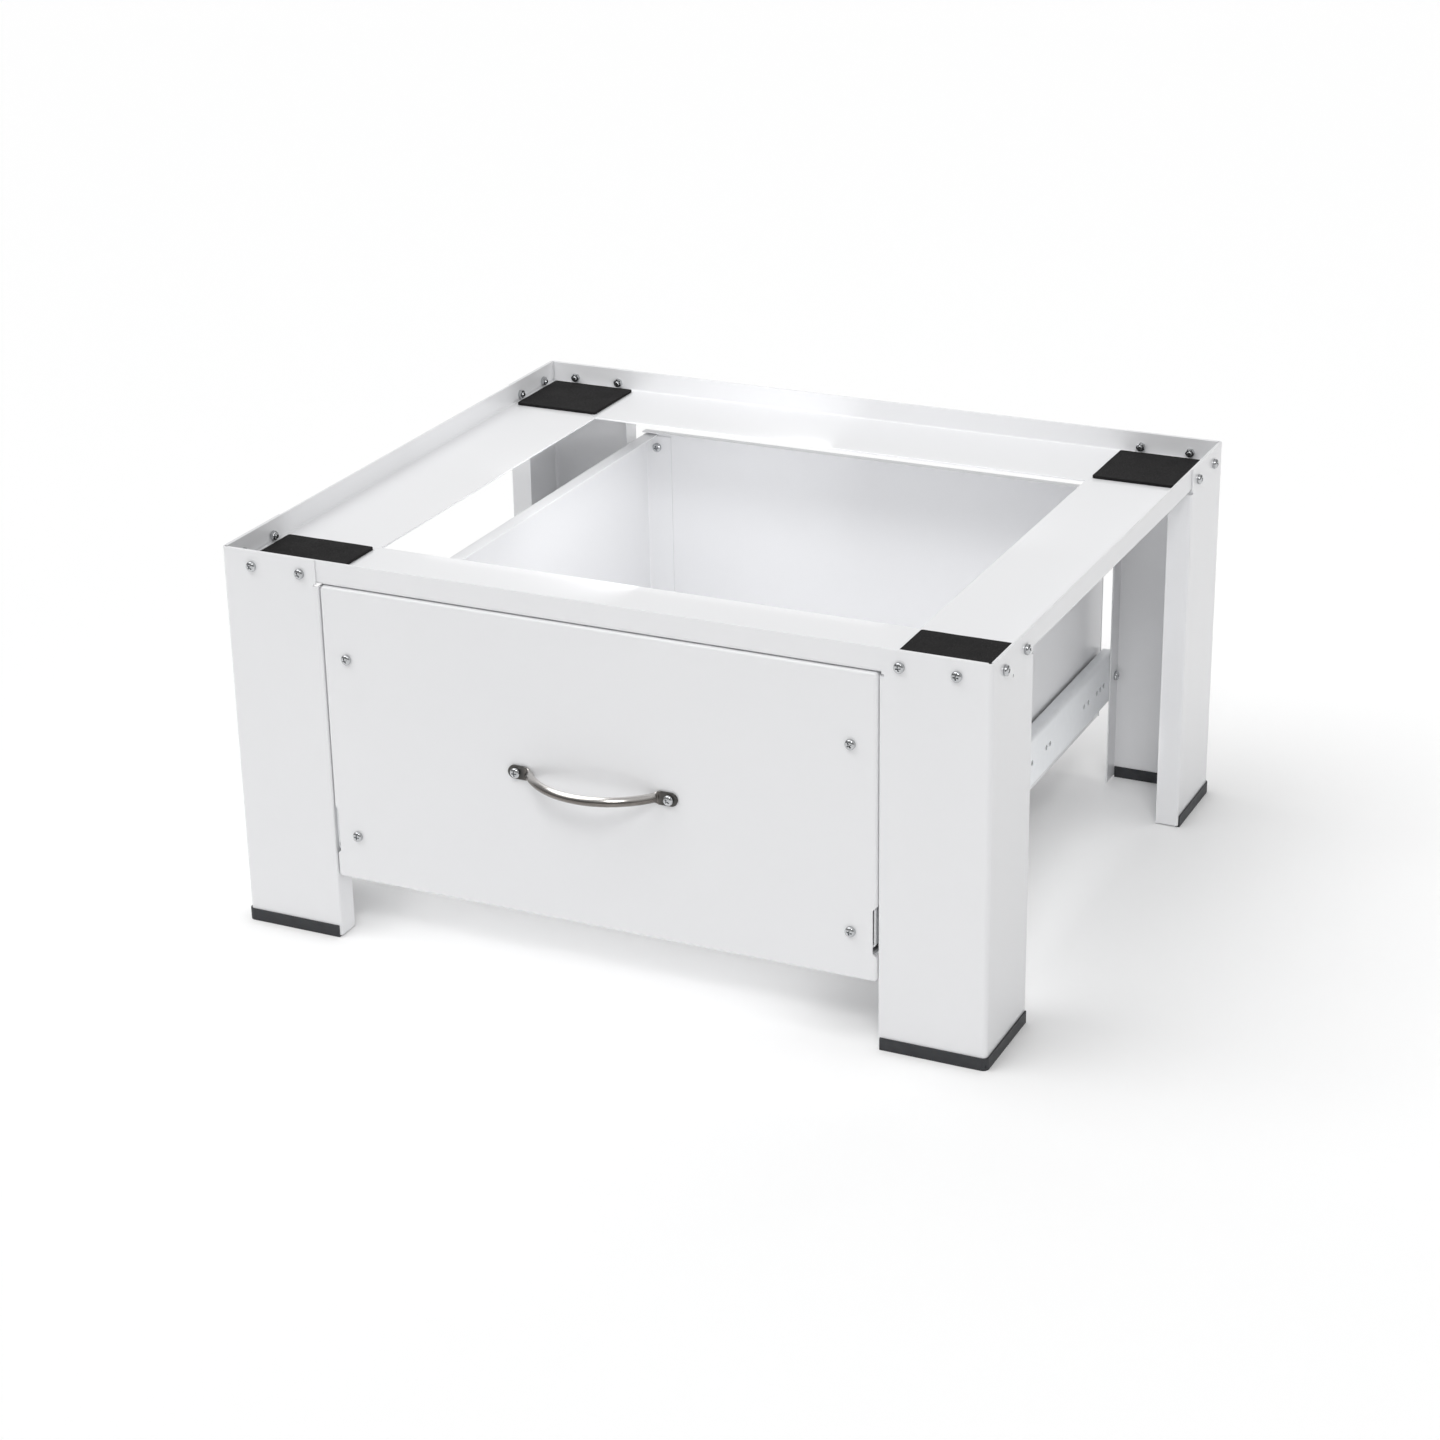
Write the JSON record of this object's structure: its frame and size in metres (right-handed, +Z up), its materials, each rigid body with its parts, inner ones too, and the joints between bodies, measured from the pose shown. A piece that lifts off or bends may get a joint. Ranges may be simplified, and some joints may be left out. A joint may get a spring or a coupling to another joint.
{
  "type": "washer pedestal drawer",
  "caption": "White sheet steel washing machine pedestal with four folded legs, rubber pads in a rimmed top frame and a pull-out drawer with a bow handle.",
  "frame": {"origin": "on the floor, under the middle of the whole part, from the bow of the handle to the rear bolt heads", "axes": "+Z up; +X to the right of someone who faces the drawer; the drawer opens along -Y"},
  "size_m": [0.637, 0.5754, 0.318],
  "materials": {
    "white_paint": "satin powder coat on sheet steel",
    "rubber": "matt",
    "foot_plastic": "matt moulded edge trim",
    "handle_metal": "brushed along its length, dark nickel tone",
    "zinc": "bright zinc plating"
  },
  "bodies": {
    "frame": {"leg_front_left": "white_paint", "leg_front_right": "white_paint", "leg_rear_left": "white_paint", "leg_rear_right": "white_paint", "foot_front_left": "foot_plastic", "foot_front_right": "foot_plastic", "foot_rear_left": "foot_plastic", "foot_rear_right": "foot_plastic", "pad_front_left": "rubber", "pad_front_right": "rubber", "pad_rear_left": "rubber", "pad_rear_right": "rubber", "rail_front": "white_paint", "rail_rear": "white_paint", "rail_left": "white_paint", "rail_right": "white_paint", "leg_bolt_front_left_1": "zinc", "leg_bolt_front_left_2": "zinc", "leg_bolt_front_left_3": "zinc", "leg_bolt_front_left_4": "zinc", "leg_bolt_front_right_1": "zinc", "leg_bolt_front_right_2": "zinc", "leg_bolt_front_right_3": "zinc", "leg_bolt_front_right_4": "zinc", "leg_bolt_rear_left_1": "zinc", "leg_bolt_rear_left_2": "zinc", "leg_bolt_rear_left_3": "zinc", "leg_bolt_rear_left_4": "zinc", "leg_bolt_rear_right_1": "zinc", "leg_bolt_rear_right_2": "zinc", "leg_bolt_rear_right_3": "zinc", "leg_bolt_rear_right_4": "zinc", "slide_outer_left": "zinc", "slide_outer_right": "zinc", "slide_screw_front_left": "zinc", "slide_screw_front_right": "zinc", "slide_screw_rear_left": "zinc", "slide_screw_rear_right": "zinc"},
    "drawer": {"drawer_front": "white_paint", "drawer_side_left": "white_paint", "drawer_side_right": "white_paint", "drawer_back": "white_paint", "drawer_bottom": "white_paint", "handle": "handle_metal", "handle_screw_left": "zinc", "handle_screw_right": "zinc", "front_screw_lower_left": "zinc", "front_screw_lower_right": "zinc", "front_screw_upper_left": "zinc", "front_screw_upper_right": "zinc", "back_screw_left": "zinc", "back_screw_right": "zinc", "slide_inner_left": "zinc", "slide_inner_right": "zinc"},
    "middle_left": {"slide_middle_left": "zinc"},
    "cage_outer_left": {"ball_cage_outer_left": "zinc"},
    "cage_inner_left": {"ball_cage_inner_left": "zinc"},
    "middle_right": {"slide_middle_right": "zinc"},
    "cage_outer_right": {"ball_cage_outer_right": "zinc"},
    "cage_inner_right": {"ball_cage_inner_right": "zinc"}
  },
  "joints": [
    {"name": "drawer_slide", "type": "slide", "parent": "frame", "child": "drawer", "axis": [0, -1, 0], "range_m": [0, 0.5]},
    {"name": "middle_left_slide", "type": "slide", "parent": "frame", "child": "middle_left", "axis": [0, -1, 0], "range_m": [0, 0.25]},
    {"name": "cage_outer_left_slide", "type": "slide", "parent": "frame", "child": "cage_outer_left", "axis": [0, -1, 0], "range_m": [0, 0.125]},
    {"name": "cage_inner_left_slide", "type": "slide", "parent": "frame", "child": "cage_inner_left", "axis": [0, -1, 0], "range_m": [0, 0.375]},
    {"name": "middle_right_slide", "type": "slide", "parent": "frame", "child": "middle_right", "axis": [0, -1, 0], "range_m": [0, 0.25]},
    {"name": "cage_outer_right_slide", "type": "slide", "parent": "frame", "child": "cage_outer_right", "axis": [0, -1, 0], "range_m": [0, 0.125]},
    {"name": "cage_inner_right_slide", "type": "slide", "parent": "frame", "child": "cage_inner_right", "axis": [0, -1, 0], "range_m": [0, 0.375]}
  ],
  "couplings": [
    {"joint": "middle_left_slide", "follows": "drawer_slide", "ratio": 0.5},
    {"joint": "cage_outer_left_slide", "follows": "drawer_slide", "ratio": 0.25},
    {"joint": "cage_inner_left_slide", "follows": "drawer_slide", "ratio": 0.75},
    {"joint": "middle_right_slide", "follows": "drawer_slide", "ratio": 0.5},
    {"joint": "cage_outer_right_slide", "follows": "drawer_slide", "ratio": 0.25},
    {"joint": "cage_inner_right_slide", "follows": "drawer_slide", "ratio": 0.75}
  ]
}
